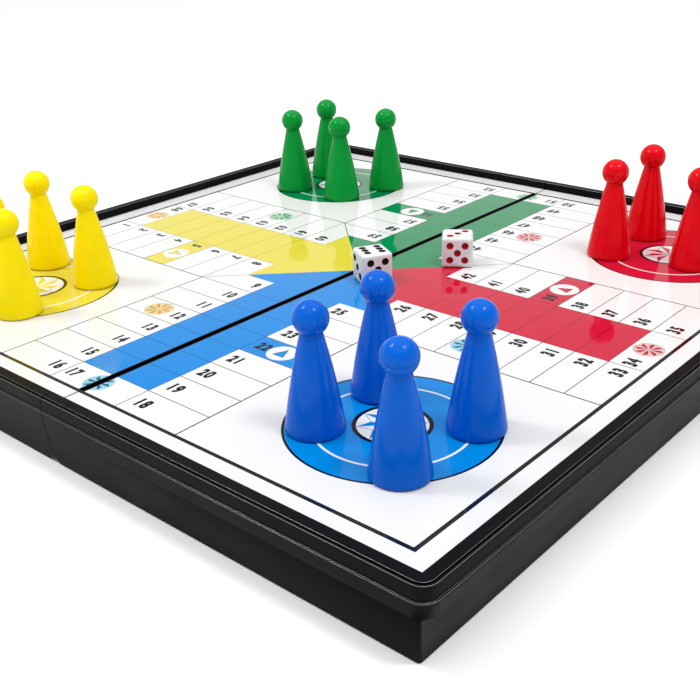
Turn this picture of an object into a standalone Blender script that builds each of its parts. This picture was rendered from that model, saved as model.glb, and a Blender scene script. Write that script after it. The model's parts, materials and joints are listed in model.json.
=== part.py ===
"""Folding race-game set: two black plastic case halves that open into one
board, joined by flush double-pivot hinge links, with sixteen turned pawns and
two dice standing on the glossy printed play surfaces.

Metres, +Z up. The origin is on the table under the middle of the open board,
and the fold line runs along X. The front half lies at -Y, the back half is
the same moulding turned half a turn about Z.
"""
import bpy
import bmesh
from math import cos, pi, radians, sin, sqrt
from mathutils import Matrix

# Play surface: the printed frame line and the white border outside it.
FIELD_HALF_X = 0.1200
FIELD_HALF_Y = 0.1177
BORDER = 0.0089
PANEL_THICKNESS = 0.0008
STEEL_THICKNESS = 0.0004
STEEL_MARGIN = 0.0030
STACK_GAP = 0.00015
PANEL_FIT = 0.0002

# Case half: a raised flat band round the board, a groove, a fine lip, a flange
# that overhangs the wall a little, and a drafted wall down to the table.
BOARD_LEVEL = 0.0177
RIM_RISE = 0.0031
BAND_WIDTH = 0.0032
GROOVE_WIDTH = 0.0005
GROOVE_DEPTH = 0.0007
LIP_WIDTH = 0.0010
LIP_DROP = 0.0002
LIP_ROUND = 0.0003
FLANGE_DROP = 0.0012
FLANGE_OVERHANG = 0.0012
DRAFT = 0.0007
CORNER_RADIUS = 0.0045
CORNER_STEPS = 4
WALL = 0.0020
DECK = 0.0018
RIB_HEIGHT = 0.0022
RIB_THICKNESS = 0.0014
RIB_SHARES = (-0.72, -0.36, 0.0, 0.36, 0.72)

# Fold: the halves meet in a hairline seam. Each hinge axis lies the same
# distance from the seam plane and from the plane where the closed rims meet,
# and each half's lower fold edge is rounded about its own axis.
SEAM_HALF = 0.00015
AXIS_INSET = 0.0030
FOLD_WALL = 0.0036
FOLD_STEPS = 5
HINGE_INSET = 0.0120
LINK_THICKNESS = 0.0030
LINK_RADIUS = 0.0023
LINK_CLEARANCE = 0.0003
LINK_SEGMENTS = 10
PIN_RADIUS = 0.0010
PIN_CLEARANCE = 0.0001
PIN_SEGMENTS = 16
CHEEK = 0.0034
PIN_END_GAP = 0.0003
PIN_SNAP_WIDTH = 0.0016
BOSS_WALL = 0.0012

# Closure magnets in bosses at the free corners.
MAGNET_RADIUS = 0.0040
MAGNET_THICKNESS = 0.0025
MAGNET_FIT = 0.00012
MAGNET_RECESS = 0.00015
MAGNET_SEGMENTS = 20
MAGNET_WALL = 0.0016

# Pawns: a ball head on a straight cone with a small foot, and a magnet disc
# set into the foot.
PAWN_HEAD_RADIUS = 0.0047
PAWN_HEAD_HEIGHT = 0.0310
PAWN_NECK_RADIUS = 0.0029
PAWN_FOOT_RADIUS = 0.0079
PAWN_FOOT_HEIGHT = 0.0014
PAWN_FOOT_ROUND = 0.0006
PAWN_BULGE = 0.00035
PAWN_SEGMENTS = 16
PAWN_HEAD_STEPS = 5
PAWN_NECK_TURN_SHARE = 0.79
PAWN_WELD = 0.00001
PAWN_MAGNET_RADIUS = 0.0040
PAWN_MAGNET_THICKNESS = 0.0020
REST_GAP = 0.0001

# Home circles, set in from the frame line, and where each pawn stands in its
# own, from the circle's centre.
HOME_INSET_X = 0.0386
HOME_INSET_Y = 0.0367
PAWN_SPREAD = 0.0150
BLUE_SHARES = ((-0.93, 0.95), (0.78, 0.94), (-1.19, -1.11), (0.76, -1.22))
RED_SHARES = ((-0.89, 1.17), (0.95, 1.11), (-0.43, -0.75), (1.10, -1.05))
GREEN_SHARES = ((-1.12, 0.80), (-1.03, -1.00), (0.59, -1.39), (0.62, 1.00))
YELLOW_SHARES = ((1.02, -0.95), (1.10, 1.09), (-0.69, 0.19), (-1.15, -1.10))

# Dice: rounded cubes with dimpled pips.
DIE_EDGE = 0.0112
DIE_ROUND = 0.0012
PIP_RADIUS = 0.00125
PIP_DEPTH = 0.0005
PIP_PITCH = 0.00262
PIP_SEGMENTS = 8
BLACK_DIE_X = -0.0044
BLACK_DIE_Y = -0.0104
BLACK_DIE_TURN = -30.0
RED_DIE_X = 0.0275
RED_DIE_Y = -0.0240
RED_DIE_TURN = -55.0

OVERRUN = 0.0020

# Derived places, measured outwards from the frame line or up from the table.
SURROUND = BORDER + BAND_WIDTH + GROOVE_WIDTH + LIP_WIDTH
CASE_HALF_X = FIELD_HALF_X + SURROUND
CASE_HALF_Y = FIELD_HALF_Y + SURROUND
HINGE_X = FIELD_HALF_X - HINGE_INSET
HOME_X = FIELD_HALF_X - HOME_INSET_X
HOME_Y = FIELD_HALF_Y - HOME_INSET_Y
RIM_TOP = BOARD_LEVEL + RIM_RISE
LIP_TOP = RIM_TOP - LIP_DROP
FLANGE_LOW = BOARD_LEVEL - FLANGE_DROP
DECK_TOP = BOARD_LEVEL - PANEL_THICKNESS - STEEL_THICKNESS - 2 * STACK_GAP
DECK_LOW = DECK_TOP - DECK
FOLD_RADIUS = AXIS_INSET - SEAM_HALF
AXIS_HEIGHT = FOLD_RADIUS
SLOT_HALF = LINK_THICKNESS / 2 + LINK_CLEARANCE
SLOT_REACH = AXIS_INSET + LINK_RADIUS + LINK_CLEARANCE
SLOT_TOP = AXIS_HEIGHT + LINK_RADIUS + LINK_CLEARANCE
BORE_RADIUS = PIN_RADIUS + PIN_CLEARANCE
MAGNET_BORE = MAGNET_RADIUS + MAGNET_FIT
MAGNET_DEPTH = MAGNET_THICKNESS + MAGNET_RECESS + STACK_GAP
PAWN_POCKET = PAWN_MAGNET_RADIUS + MAGNET_FIT
PAWN_POCKET_DEPTH = PAWN_MAGNET_THICKNESS + 2 * STACK_GAP
PAWN_BASE = BOARD_LEVEL + REST_GAP

COLOURS = {
    "case_black": ((0.018, 0.018, 0.020), 0.45, 0.0),
    "print_white": ((0.86, 0.86, 0.85), 0.08, 0.0),
    "steel": ((0.56, 0.57, 0.58), 0.35, 1.0),
    "magnet": ((0.62, 0.62, 0.60), 0.28, 1.0),
    "blue": ((0.000, 0.080, 0.520), 0.16, 0.0),
    "red": ((0.600, 0.004, 0.018), 0.16, 0.0),
    "green": ((0.000, 0.260, 0.035), 0.16, 0.0),
    "yellow": ((0.900, 0.680, 0.000), 0.16, 0.0),
    "die_white": ((0.84, 0.83, 0.82), 0.20, 0.0),
}


def clear_scene():
    for ob in list(bpy.data.objects):
        bpy.data.objects.remove(ob, do_unlink=True)


def collection(name):
    col = bpy.data.collections.new(name)
    bpy.context.scene.collection.children.link(col)
    return col


def material(name):
    colour, roughness, metallic = COLOURS[name]
    mat = bpy.data.materials.new(name)
    mat.use_nodes = True
    bsdf = mat.node_tree.nodes["Principled BSDF"]
    bsdf.inputs["Base Color"].default_value = (*colour, 1.0)
    bsdf.inputs["Roughness"].default_value = roughness
    bsdf.inputs["Metallic"].default_value = metallic
    mat.diffuse_color = (*colour, 1.0)
    return mat


def add_object(name, mesh, place=(0, 0, 0), turn=0.0, carrier=None):
    """Places a piece in world coordinates, parented to its carrier empty."""
    ob = bpy.data.objects.new(name, mesh)
    ob.location = place
    if carrier:
        ob.parent = carrier
        ob.location -= carrier.location
    ob.rotation_euler = (0, 0, turn)
    PARTS.objects.link(ob)
    return ob


def add_axis(name, place):
    """An empty on a fold axis, which carries the half that turns on it."""
    axis = bpy.data.objects.new(name, None)
    axis.location = place
    axis.empty_display_type = "SINGLE_ARROW"
    axis.empty_display_size = AXIS_INSET
    PARTS.objects.link(axis)
    return axis


def add_cutter(name, mesh):
    ob = bpy.data.objects.new(name, mesh)
    ob.display_type = "WIRE"
    ob.hide_render = True
    CUTTERS.objects.link(ob)
    return ob


def combine(target, cutter, operation):
    mod = target.modifiers.new(cutter.name, "BOOLEAN")
    mod.operation = operation
    mod.solver = "EXACT"
    mod.object = cutter


def mesh_from(bm, name):
    bmesh.ops.recalc_face_normals(bm, faces=bm.faces)
    mesh = bpy.data.meshes.new(name)
    bm.to_mesh(mesh)
    bm.free()
    return mesh


def box_into(bm, low, high):
    """A box between two corners, added to bm; returns its vertices."""
    size = [b - a for a, b in zip(low, high)]
    middle = [(a + b) / 2 for a, b in zip(low, high)]
    matrix = Matrix.Translation(middle) @ Matrix.Diagonal((*size, 1))
    return bmesh.ops.create_cube(bm, size=1, matrix=matrix)["verts"]


def cylinder_into(bm, radius, length, place, axis, segments):
    """A closed cylinder centred at place, along X or Z."""
    turn = Matrix.Rotation(radians(90), 4, "Y") if axis == "X" else Matrix()
    bmesh.ops.create_cone(bm, cap_ends=True, segments=segments,
                          radius1=radius, radius2=radius, depth=length,
                          matrix=Matrix.Translation(place) @ turn)


def half_block(name, inset, z_low, z_high, radius=0.0, draft=0.0,
               fold_y=-SEAM_HALF, top_round=0.0):
    """A slab that follows the case outline, inset from it, from the fold face
    to the free edge. Its two free corners are rounded, its foot can draw in
    by the draft, and its top edge can be rounded."""
    half_x = CASE_HALF_X - inset
    free_y = -(CASE_HALF_Y - inset)
    bm = bmesh.new()
    for v in box_into(bm, (-half_x, free_y, z_low), (half_x, fold_y, z_high)):
        if v.co.z < (z_low + z_high) / 2 and draft:
            v.co.x -= draft if v.co.x > 0 else -draft
            if v.co.y < (free_y + fold_y) / 2:
                v.co.y += draft
    if radius:
        edges = [e for e in bm.edges
                 if abs(e.verts[0].co.z - e.verts[1].co.z) > (z_high - z_low) / 2
                 and all(v.co.y < (free_y + fold_y) / 2 for v in e.verts)]
        bmesh.ops.bevel(bm, geom=edges, offset=radius, segments=CORNER_STEPS,
                        profile=0.5, affect="EDGES")
    if top_round:
        edges = [e for e in bm.edges
                 if all(v.co.z > z_high - top_round for v in e.verts)
                 and any(v.co.y < fold_y - top_round for v in e.verts)]
        bmesh.ops.bevel(bm, geom=edges, offset=top_round, segments=2,
                        profile=0.5, affect="EDGES")
    return mesh_from(bm, name)


def fold_edge_cutter():
    """Takes the lower fold edge back to an arc about the hinge axis."""
    outline = [(OVERRUN, AXIS_HEIGHT), (OVERRUN, -OVERRUN),
               (-AXIS_INSET, -OVERRUN)]
    for i in range(FOLD_STEPS + 1):
        angle = pi / 2 * (i / FOLD_STEPS - 1)
        outline.append((-AXIS_INSET + FOLD_RADIUS * cos(angle),
                        AXIS_HEIGHT + FOLD_RADIUS * sin(angle)))
    bm = bmesh.new()
    face = bm.faces.new([bm.verts.new((-CASE_HALF_X - OVERRUN, y, z))
                         for y, z in outline])
    grown = bmesh.ops.extrude_face_region(bm, geom=[face])["geom"]
    bmesh.ops.translate(bm, vec=(2 * (CASE_HALF_X + OVERRUN), 0, 0),
                        verts=[v for v in grown
                               if isinstance(v, bmesh.types.BMVert)])
    return mesh_from(bm, "fold_edge")


def case_mesh_parts():
    """The moulding's added and cut-away shapes, in the order they apply."""
    groove_inset = LIP_WIDTH
    band_inset = LIP_WIDTH + GROOVE_WIDTH
    recess_inset = band_inset + BAND_WIDTH
    wall_inset = FLANGE_OVERHANG
    yield "wall", "UNION", half_block(
        "wall", wall_inset, 0, FLANGE_LOW + GROOVE_DEPTH,
        radius=CORNER_RADIUS - wall_inset, draft=DRAFT)
    yield "groove", "DIFFERENCE", half_block(
        "groove", groove_inset, LIP_TOP - GROOVE_DEPTH, RIM_TOP + OVERRUN,
        radius=CORNER_RADIUS - groove_inset, fold_y=OVERRUN)
    yield "band", "UNION", half_block(
        "band", band_inset, FLANGE_LOW + GROOVE_DEPTH, RIM_TOP,
        radius=CORNER_RADIUS - band_inset)
    yield "recess", "DIFFERENCE", half_block(
        "recess", recess_inset, DECK_TOP, RIM_TOP + OVERRUN, fold_y=OVERRUN)

    hollow_inset = wall_inset + DRAFT + WALL
    yield "hollow", "DIFFERENCE", half_block(
        "hollow", hollow_inset, -OVERRUN, DECK_LOW,
        radius=CORNER_RADIUS - wall_inset, fold_y=-SEAM_HALF - FOLD_WALL)

    bm = bmesh.new()
    rib_y = CASE_HALF_Y - hollow_inset
    for share in RIB_SHARES:
        x = share * CASE_HALF_X
        box_into(bm, (x - RIB_THICKNESS / 2, -rib_y - WALL / 2,
                      DECK_LOW - RIB_HEIGHT),
                 (x + RIB_THICKNESS / 2, -SEAM_HALF - FOLD_WALL / 2,
                  DECK_LOW + DECK / 2))
    yield "ribs", "UNION", mesh_from(bm, "ribs")

    bm = bmesh.new()
    for side in (-1, 1):
        x, y = side * MAGNET_X, -MAGNET_Y
        cylinder_into(bm, MAGNET_BORE + MAGNET_WALL, DECK_LOW + DECK / 2,
                      (x, y, (DECK_LOW + DECK / 2) / 2), "Z", MAGNET_SEGMENTS)
    yield "magnet_bosses", "UNION", mesh_from(bm, "magnet_bosses")

    bm = bmesh.new()
    boss_half = SLOT_HALF + CHEEK
    for side in (-1, 1):
        x = side * HINGE_X
        box_into(bm, (x - boss_half, -SLOT_REACH - BOSS_WALL, 0),
                 (x + boss_half, -SEAM_HALF, SLOT_TOP + BOSS_WALL))
    yield "hinge_bosses", "UNION", mesh_from(bm, "hinge_bosses")
    yield "fold_edge", "DIFFERENCE", fold_edge_cutter()

    bm = bmesh.new()
    for side in (-1, 1):
        x = side * HINGE_X
        box_into(bm, (x - SLOT_HALF, -SLOT_REACH, -OVERRUN),
                 (x + SLOT_HALF, OVERRUN, SLOT_TOP))
    yield "link_slots", "DIFFERENCE", mesh_from(bm, "link_slots")

    bm = bmesh.new()
    for side in (-1, 1):
        cylinder_into(bm, BORE_RADIUS, PIN_LENGTH + 2 * PIN_END_GAP,
                      (side * HINGE_X, -AXIS_INSET, AXIS_HEIGHT), "X",
                      PIN_SEGMENTS)
    yield "pin_bores", "DIFFERENCE", mesh_from(bm, "pin_bores")

    # The pins snap in from below through channels narrower than the pin.
    bm = bmesh.new()
    channel_half = PIN_LENGTH / 2 + PIN_END_GAP
    for side in (-1, 1):
        x = side * HINGE_X
        box_into(bm, (x - channel_half, -AXIS_INSET - PIN_SNAP_WIDTH / 2,
                      -OVERRUN),
                 (x + channel_half, -AXIS_INSET + PIN_SNAP_WIDTH / 2,
                  AXIS_HEIGHT))
    yield "pin_channels", "DIFFERENCE", mesh_from(bm, "pin_channels")

    bm = bmesh.new()
    for side in (-1, 1):
        cylinder_into(bm, MAGNET_BORE, MAGNET_DEPTH + OVERRUN,
                      (side * MAGNET_X, -MAGNET_Y,
                       (MAGNET_DEPTH - OVERRUN) / 2), "Z", MAGNET_SEGMENTS)
    yield "magnet_pockets", "DIFFERENCE", mesh_from(bm, "magnet_pockets")


def build_cases():
    black = material("case_black")
    base = half_block("case_half", 0, FLANGE_LOW, LIP_TOP,
                      radius=CORNER_RADIUS, top_round=LIP_ROUND)
    base.materials.append(black)
    steps = [(add_cutter(name, mesh), op)
             for name, op, mesh in case_mesh_parts()]
    moulding = add_cutter("case_moulding", base)
    for cutter, op in steps:
        combine(moulding, cutter, op)
    bpy.context.view_layer.update()
    graph = bpy.context.evaluated_depsgraph_get()
    mesh = bpy.data.meshes.new_from_object(moulding.evaluated_get(graph))
    mesh.name = "case_half_moulding"
    bpy.data.objects.remove(moulding, do_unlink=True)
    add_object("front_case", mesh)
    add_object("back_case", mesh, turn=pi, carrier=BACK_AXIS)


def build_surfaces():
    """Printed panel and the steel sheet that the pawns' magnets hold to."""
    for label, colour, low, thickness, margin in (
            ("play_surface", "print_white", BOARD_LEVEL - PANEL_THICKNESS,
             PANEL_THICKNESS, PANEL_FIT),
            ("steel_sheet", "steel", DECK_TOP + STACK_GAP,
             STEEL_THICKNESS, STEEL_MARGIN)):
        bm = bmesh.new()
        half_x = FIELD_HALF_X + BORDER - margin
        free_y = -(FIELD_HALF_Y + BORDER - margin)
        fold_y = -SEAM_HALF if margin == PANEL_FIT else -SEAM_HALF - margin
        box_into(bm, (-half_x, free_y, low),
                 (half_x, fold_y, low + thickness))
        mesh = mesh_from(bm, label)
        mesh.materials.append(material(colour))
        add_object("front_" + label, mesh)
        add_object("back_" + label, mesh, turn=pi, carrier=BACK_AXIS)


def circle_points(radius, centre, segments):
    return [(centre + radius * cos(2 * pi * i / segments),
             radius * sin(2 * pi * i / segments)) for i in range(segments)]


def link_outline():
    """A bar with round ends about the two hinge axes."""
    points = []
    for side in (1, -1):
        for i in range(LINK_SEGMENTS + 1):
            angle = pi * i / LINK_SEGMENTS - pi / 2
            points.append((side * (AXIS_INSET + LINK_RADIUS * cos(angle)),
                           side * LINK_RADIUS * sin(angle)))
    return points


def build_hinge():
    steel = material("steel")
    for label, side in (("left", -1), ("right", 1)):
        curve = bpy.data.curves.new("hinge_link_" + label, "CURVE")
        curve.dimensions = "2D"
        curve.fill_mode = "BOTH"
        curve.extrude = LINK_THICKNESS / 2
        hole = BORE_RADIUS
        for points in (link_outline(),
                       circle_points(hole, -AXIS_INSET, PIN_SEGMENTS),
                       circle_points(hole, AXIS_INSET, PIN_SEGMENTS)):
            spline = curve.splines.new("POLY")
            spline.points.add(len(points) - 1)
            for point, (x, y) in zip(spline.points, points):
                point.co = (x, y, 0, 1)
            spline.use_cyclic_u = True
        curve.materials.append(steel)
        link = add_object("hinge_link_" + label, curve,
                          (side * HINGE_X, 0, AXIS_HEIGHT), carrier=LINK_AXIS)
        link.rotation_euler = (pi / 2, 0, pi / 2)
        for half, way, carrier in (("front", -1, None), ("back", 1, BACK_AXIS)):
            bm = bmesh.new()
            cylinder_into(bm, PIN_RADIUS, PIN_LENGTH, (0, 0, 0), "X",
                          PIN_SEGMENTS)
            mesh = mesh_from(bm, "hinge_pin")
            mesh.materials.append(steel)
            add_object("hinge_pin_%s_%s" % (half, label), mesh,
                       (side * HINGE_X, way * AXIS_INSET, AXIS_HEIGHT),
                       carrier=carrier)


def build_closure_magnets():
    grey = material("magnet")
    for half, way, carrier in (("front", -1, None), ("back", 1, BACK_AXIS)):
        for label, side in (("left", -1), ("right", 1)):
            bm = bmesh.new()
            cylinder_into(bm, MAGNET_RADIUS, MAGNET_THICKNESS,
                          (0, 0, MAGNET_THICKNESS / 2), "Z", MAGNET_SEGMENTS)
            mesh = mesh_from(bm, "closure_magnet")
            mesh.materials.append(grey)
            add_object("closure_magnet_%s_%s" % (half, label), mesh,
                       (side * MAGNET_X, way * MAGNET_Y, MAGNET_RECESS),
                       carrier=carrier)


def pawn_profile():
    """From the top of the head down the outside, under the foot and into the
    magnet's pocket, as (radius, height) pairs that end on the axis."""
    neck_drop_share = sqrt(1 - (PAWN_NECK_RADIUS / PAWN_HEAD_RADIUS) ** 2)
    points = []
    for i in range(PAWN_HEAD_STEPS + 1):
        angle = i / PAWN_HEAD_STEPS * pi * PAWN_NECK_TURN_SHARE
        points.append((PAWN_HEAD_RADIUS * sin(angle),
                       PAWN_HEAD_HEIGHT + PAWN_HEAD_RADIUS * cos(angle)))
    neck_z = PAWN_HEAD_HEIGHT - PAWN_HEAD_RADIUS * neck_drop_share
    points[-1] = (PAWN_NECK_RADIUS, neck_z)
    for share in (0.5, 1.0):
        radius = PAWN_NECK_RADIUS + share * (PAWN_FOOT_RADIUS - PAWN_NECK_RADIUS)
        height = neck_z + share * (PAWN_FOOT_HEIGHT - neck_z)
        points.append((radius + PAWN_BULGE * sin(pi * share), height))
    points.append((PAWN_FOOT_RADIUS, PAWN_FOOT_ROUND))
    points.append((PAWN_FOOT_RADIUS - PAWN_FOOT_ROUND, 0))
    points.append((PAWN_POCKET, 0))
    points.append((PAWN_POCKET, PAWN_POCKET_DEPTH))
    points.append((0, PAWN_POCKET_DEPTH))
    return points


def build_pawns():
    magnet_grey = material("magnet")
    bm = bmesh.new()
    cylinder_into(bm, PAWN_MAGNET_RADIUS, PAWN_MAGNET_THICKNESS,
                  (0, 0, PAWN_MAGNET_THICKNESS / 2), "Z", PAWN_SEGMENTS)
    magnet = mesh_from(bm, "pawn_magnet")
    magnet.materials.append(magnet_grey)
    for colour, way_x, way_y, shares in (
            ("blue", -1, -1, BLUE_SHARES), ("red", 1, -1, RED_SHARES),
            ("green", 1, 1, GREEN_SHARES), ("yellow", -1, 1, YELLOW_SHARES)):
        bm = bmesh.new()
        points = [bm.verts.new((r, 0, z)) for r, z in pawn_profile()]
        for a, b in zip(points, points[1:]):
            bm.edges.new((a, b))
        mesh = bpy.data.meshes.new("pawn_" + colour)
        bm.to_mesh(mesh)
        bm.free()
        mesh.materials.append(material(colour))
        for number, (share_x, share_y) in enumerate(shares, 1):
            x = way_x * HOME_X + share_x * PAWN_SPREAD
            y = way_y * HOME_Y + share_y * PAWN_SPREAD
            carrier = BACK_AXIS if way_y > 0 else None
            pawn = add_object("pawn_%s_%d" % (colour, number), mesh,
                              (x, y, PAWN_BASE), carrier=carrier)
            screw = pawn.modifiers.new("turned", "SCREW")
            screw.axis = "Z"
            screw.angle = 2 * pi
            screw.steps = PAWN_SEGMENTS
            screw.render_steps = PAWN_SEGMENTS
            screw.use_merge_vertices = True
            screw.merge_threshold = PAWN_WELD
            screw.use_smooth_shade = True
            add_object("pawn_magnet_%s_%d" % (colour, number), magnet,
                       (x, y, PAWN_BASE + STACK_GAP), carrier=carrier)


# Pip places on a face, as shares of the pip pitch.
PIP_SHARES = {
    1: ((0, 0),),
    2: ((-1, -1), (1, 1)),
    3: ((-1, -1), (0, 0), (1, 1)),
    4: ((-1, -1), (-1, 1), (1, -1), (1, 1)),
    5: ((-1, -1), (-1, 1), (0, 0), (1, -1), (1, 1)),
    6: ((-1, -1), (-1, 0), (-1, 1), (1, -1), (1, 0), (1, 1)),
}


def pip_cutter(name, faces):
    """Small balls whose caps dimple each face. faces gives the number on
    +Z, -Z, +X, -X, +Y and -Y, in that order."""
    ball = (PIP_RADIUS ** 2 + PIP_DEPTH ** 2) / (2 * PIP_DEPTH)
    turns = (Matrix(), Matrix.Rotation(pi, 4, "X"),
             Matrix.Rotation(pi / 2, 4, "Y"), Matrix.Rotation(-pi / 2, 4, "Y"),
             Matrix.Rotation(-pi / 2, 4, "X"), Matrix.Rotation(pi / 2, 4, "X"))
    bm = bmesh.new()
    for number, turn in zip(faces, turns):
        for share_x, share_y in PIP_SHARES[number]:
            place = Matrix.Translation((share_x * PIP_PITCH,
                                        share_y * PIP_PITCH,
                                        DIE_EDGE / 2 + ball - PIP_DEPTH))
            bmesh.ops.create_uvsphere(bm, u_segments=PIP_SEGMENTS,
                                      v_segments=PIP_SEGMENTS, radius=ball,
                                      matrix=turn @ place)
    return mesh_from(bm, name)


def build_dice():
    white = material("die_white")
    for name, x, y, turn, faces in (
            ("die_black_pips", BLACK_DIE_X, BLACK_DIE_Y, BLACK_DIE_TURN,
             (6, 1, 4, 3, 2, 5)),
            ("die_red_pips", RED_DIE_X, RED_DIE_Y, RED_DIE_TURN,
             (3, 4, 6, 1, 2, 5))):
        centre = (x, y, BOARD_LEVEL + REST_GAP + DIE_EDGE / 2)
        bm = bmesh.new()
        bmesh.ops.create_cube(bm, size=DIE_EDGE)
        mesh = mesh_from(bm, name)
        mesh.materials.append(white)
        die = add_object(name, mesh, centre, radians(turn))
        bevel = die.modifiers.new("rounded", "BEVEL")
        bevel.width = DIE_ROUND
        bevel.segments = 3
        cutter = add_cutter(name + "_cutter", pip_cutter(name + "_cutter", faces))
        cutter.location = centre
        cutter.rotation_euler = (0, 0, radians(turn))
        combine(die, cutter, "DIFFERENCE")


PIN_LENGTH = 2 * (SLOT_HALF + CHEEK - BOSS_WALL)
MAGNET_X = CASE_HALF_X - FLANGE_OVERHANG - DRAFT - WALL - MAGNET_BORE
MAGNET_Y = CASE_HALF_Y - FLANGE_OVERHANG - DRAFT - WALL - MAGNET_BORE

clear_scene()
PARTS = collection("folding_race_game")
CUTTERS = collection("cutters")
LINK_AXIS = add_axis("link_fold_axis", (0, -AXIS_INSET, AXIS_HEIGHT))
BACK_AXIS = add_axis("back_fold_axis", (0, AXIS_INSET, AXIS_HEIGHT))
build_cases()
build_surfaces()
build_hinge()
build_closure_magnets()
build_pawns()
build_dice()
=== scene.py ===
# %% [markdown]
# # A folding race-game set, dressed in Blender
#
# The set is a black plastic case that opens flat into a four-armed race board,
# with sixteen turned pawns and two dice. A finished CAD model gives every
# place and size. It could be rendered as it is, but its print is blank and its
# edges are bare, so this lesson replaces the printed panels, the pawns, the
# dice and the case with finer pieces in the same places, and gives each its
# finish.

# %% Load the frame and measure it
import json
from math import asin, cos, pi, radians, sin

import bmesh
import bpy
from mathutils import Matrix, Vector
from mathutils.geometry import delaunay_2d_cdt

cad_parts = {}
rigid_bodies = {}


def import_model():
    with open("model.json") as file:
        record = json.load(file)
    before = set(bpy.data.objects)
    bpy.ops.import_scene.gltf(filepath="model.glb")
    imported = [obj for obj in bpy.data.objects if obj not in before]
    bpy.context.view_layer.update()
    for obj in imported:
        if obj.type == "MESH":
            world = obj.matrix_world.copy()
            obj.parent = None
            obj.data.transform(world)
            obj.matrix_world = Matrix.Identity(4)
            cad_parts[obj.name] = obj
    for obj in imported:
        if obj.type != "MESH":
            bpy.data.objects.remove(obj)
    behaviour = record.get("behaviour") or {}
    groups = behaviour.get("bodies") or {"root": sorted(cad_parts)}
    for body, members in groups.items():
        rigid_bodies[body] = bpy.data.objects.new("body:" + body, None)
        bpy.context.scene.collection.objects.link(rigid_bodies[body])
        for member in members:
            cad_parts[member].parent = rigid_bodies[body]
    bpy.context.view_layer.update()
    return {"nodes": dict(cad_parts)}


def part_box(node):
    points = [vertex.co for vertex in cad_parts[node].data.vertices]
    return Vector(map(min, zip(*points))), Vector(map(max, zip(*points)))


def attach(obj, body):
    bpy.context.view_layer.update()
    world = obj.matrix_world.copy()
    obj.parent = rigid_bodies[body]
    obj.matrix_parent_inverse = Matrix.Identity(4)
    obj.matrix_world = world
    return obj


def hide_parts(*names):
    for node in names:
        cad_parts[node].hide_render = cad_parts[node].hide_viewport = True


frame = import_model()
scene = bpy.context.scene

# %% [markdown]
# ## The camera
#
# The picture looks across one corner of the board from close by, with the
# camera turned a little on its own axis. It could be set by eye, but the
# printed lines of the board fix it exactly, so its angles, target and lens
# are given as numbers.

# %% Place the camera
AZIMUTH, ELEVATION, ROLL = radians(-48.44), radians(24.94), radians(-1.63)
TARGET = Vector((-0.05357, -0.04232, 0.0177))
DISTANCE = 0.30415

back = Vector((sin(AZIMUTH) * cos(ELEVATION), -cos(AZIMUTH) * cos(ELEVATION),
               sin(ELEVATION)))
level = Vector((0, 0, 1)).cross(back).normalized()
upward = back.cross(level)
right = level * cos(ROLL) + upward * sin(ROLL)
upright = upward * cos(ROLL) - level * sin(ROLL)

lens = bpy.data.cameras.new("camera")
lens.sensor_fit = "HORIZONTAL"
lens.sensor_width = 36.0
lens.lens = 52.05
lens.clip_start = 0.005
camera = bpy.data.objects.new("camera", lens)
scene.collection.objects.link(camera)
camera.matrix_world = Matrix.Translation(TARGET + back * DISTANCE) @ Matrix(
    (right, upright, back)).transposed().to_4x4()
scene.camera = camera
scene.view_settings.view_transform = "Standard"
print("camera at", [round(v, 4) for v in camera.matrix_world.translation])

# %% [markdown]
# ## Nodes that read like sums
#
# Blender's nodes can be wired one by one, but long chains of maths are hard
# to read that way. Here a small class wraps a node's output so that it can be
# added and scaled like a number, and another adds every other kind of node
# with one call. The same two serve materials, the sky and Geometry Nodes.

# %% Helpers for node trees
class Value:
    """A node's output that works in sums."""

    def __init__(self, nodes, socket):
        self.nodes, self.socket = nodes, socket

    def sum(self, operation, *values):
        return self.nodes.add("ShaderNodeMath", {"operation": operation},
                              dict(enumerate(values)))

    def __add__(self, other):
        return self.sum("ADD", self, other)

    def __sub__(self, other):
        return self.sum("SUBTRACT", self, other)

    def __rsub__(self, other):
        return self.sum("SUBTRACT", other, self)

    def __mul__(self, other):
        return self.sum("MULTIPLY", self, other)

    def __truediv__(self, other):
        return self.sum("DIVIDE", self, other)

    def __rtruediv__(self, other):
        return self.sum("DIVIDE", other, self)

    def __neg__(self):
        return self.sum("MULTIPLY", self, -1.0)

    __radd__, __rmul__ = __add__, __mul__


class Nodes:
    """Adds nodes to one tree, by type, settings and values or links."""

    def __init__(self, tree):
        self.tree = tree

    def plug(self, value, socket):
        if isinstance(value, Value):
            self.tree.links.new(value.socket, socket)
        else:
            socket.default_value = value

    def add(self, kind, settings=None, values=None, out=0):
        node = self.tree.nodes.new(kind)
        for name, value in (settings or {}).items():
            setattr(node, name, value)
        for name, value in (values or {}).items():
            self.plug(value, node.inputs[name])
        return Value(self, node.outputs[out]) if len(node.outputs) else node

    def spread(self, value, low, high, to_low=0.0, to_high=1.0):
        """Maps low..high to another range, held at its ends."""
        return self.add("ShaderNodeMapRange", None, {
            "Value": value, "From Min": low, "From Max": high,
            "To Min": to_low, "To Max": to_high})

    def blend(self, share, first, second):
        """Mixes two colours."""
        return self.add("ShaderNodeMix", {"data_type": "RGBA"},
                        {0: share, 6: first, 7: second}, out=2)


def paint(red, green, blue):
    """A screen colour, given 0 to 255, as the linear one that nodes use."""
    def channel(value):
        value /= 255
        if value <= 0.04045:
            return value / 12.92
        return ((value + 0.055) / 1.055) ** 2.4
    return (channel(red), channel(green), channel(blue), 1.0)


print("blue ink as linear colour:", [round(v, 3) for v in paint(0, 112, 222)])

# %% [markdown]
# ## A finish reads the object, not the picture
#
# A finish could be one flat colour, but moulded plastic, ink and steel all
# vary a little in colour, gloss and smoothness. Each finish here starts from
# one Principled shader, reads places on the object itself in metres, and adds
# its own fine variation.

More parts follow.
